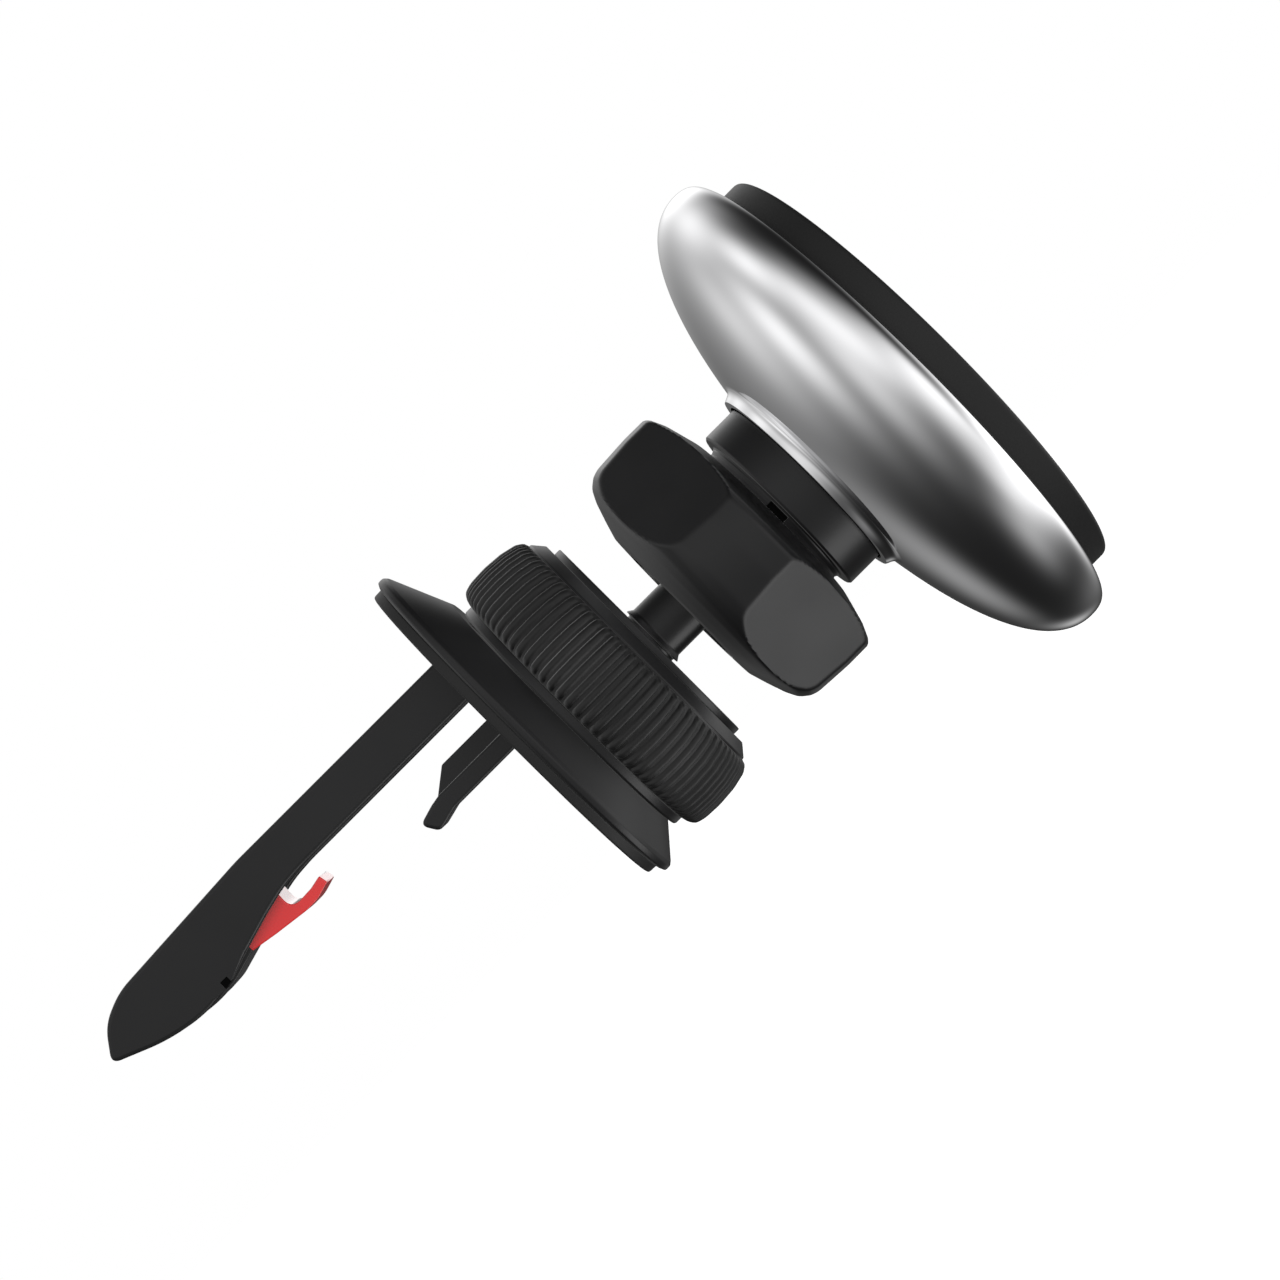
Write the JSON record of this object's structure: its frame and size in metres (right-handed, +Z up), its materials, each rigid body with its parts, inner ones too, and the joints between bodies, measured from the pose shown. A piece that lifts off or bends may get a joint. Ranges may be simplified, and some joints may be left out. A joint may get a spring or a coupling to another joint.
{
  "type": "car phone mount",
  "caption": "Vent-clip phone mount: hooked arm drawn in by a ribbed dial, oval base, ball joint with lock nut, and a round magnetic head.",
  "frame": {"origin": "on the main axis, at the face of the soft pad that rests on the vent", "axes": "+Y into the vent along the hook arm, -Y towards the phone, +Z up in use, +X to the left of a person facing the phone side"},
  "size_m": [0.0636, 0.1131, 0.0636],
  "materials": {
    "black_plastic": "satin moulded black with softly bevelled edges",
    "black_rubber": "matt black rubber",
    "dark_chrome": "polished plated shell",
    "red_plastic": "glossy red",
    "white_nylon": "natural nylon",
    "brass": "turned brass",
    "nickel_plate": "nickel-plated magnet",
    "steel": "zinc-plated steel"
  },
  "bodies": {
    "base": {"vent_pad": "black_rubber", "base_plate": "black_plastic", "support_foot": "black_plastic", "foot_screw_1": "steel", "foot_screw_2": "steel", "ball_stud": "black_plastic", "stud_screw_1": "steel", "stud_screw_2": "steel", "stud_screw_3": "steel", "top_cap": "black_plastic", "thrust_washer": "white_nylon"},
    "dial": {"dial_hub": "black_plastic", "dial_bush": "brass", "grip_sleeve": "black_rubber"},
    "arm": {"thread_carriage": "white_nylon", "pull_link": "steel", "arm_core": "black_plastic", "front_cheek": "black_plastic", "rear_cheek": "black_plastic", "hook": "red_plastic", "hook_pin": "steel", "cheek_dowel_1": "steel", "cheek_dowel_2": "steel", "cheek_dowel_3": "steel"},
    "liner": {"ball_liner": "white_nylon"},
    "cup": {"thrust_cup": "white_nylon", "cup_spring": "steel"},
    "head": {"socket_collet": "black_plastic", "rear_shell": "dark_chrome", "magnet_tray": "black_plastic", "tray_screw_1": "steel", "tray_screw_2": "steel", "tray_screw_3": "steel", "tray_screw_4": "steel", "steel_yoke": "steel", "face_pad": "black_rubber", "magnet_1": "nickel_plate", "magnet_2": "nickel_plate", "magnet_3": "nickel_plate", "magnet_4": "nickel_plate", "magnet_5": "nickel_plate", "magnet_6": "nickel_plate", "magnet_7": "nickel_plate", "magnet_8": "nickel_plate"},
    "ring": {"pressure_ring": "brass"},
    "nut": {"lock_nut": "black_plastic"}
  },
  "joints": [
    {"name": "dial_turn", "type": "hinge", "parent": "base", "child": "dial", "pos_m": [0, 0, 0], "axis": [0, -1, 0], "range_deg": [0, 1080]},
    {"name": "arm_slide", "type": "slide", "parent": "base", "child": "arm", "axis": [0, -1, 0], "range_m": [0, 0.0045]},
    {"name": "head_pan", "type": "hinge", "parent": "base", "child": "liner", "pos_m": [0, -0.0315, 0], "axis": [0, 0, 1], "range_deg": [-15, 15]},
    {"name": "head_tilt", "type": "hinge", "parent": "liner", "child": "cup", "pos_m": [0, -0.0315, 0], "axis": [1, 0, 0], "range_deg": [-15, 15]},
    {"name": "head_spin", "type": "hinge", "parent": "cup", "child": "head", "pos_m": [0, -0.0315, 0], "axis": [0, -1, 0], "continuous": true},
    {"name": "nut_travel", "type": "slide", "parent": "head", "child": "ring", "axis": [0, 1, 0], "range_m": [0, 0.0012]},
    {"name": "nut_turn", "type": "hinge", "parent": "ring", "child": "nut", "pos_m": [0, 0, 0], "axis": [0, 1, 0], "range_deg": [0, 360]}
  ],
  "couplings": [
    {"joint": "arm_slide", "follows": "dial_turn", "m_per_rad": 0.00023873},
    {"joint": "nut_travel", "follows": "nut_turn", "m_per_rad": 0.00019099}
  ]
}
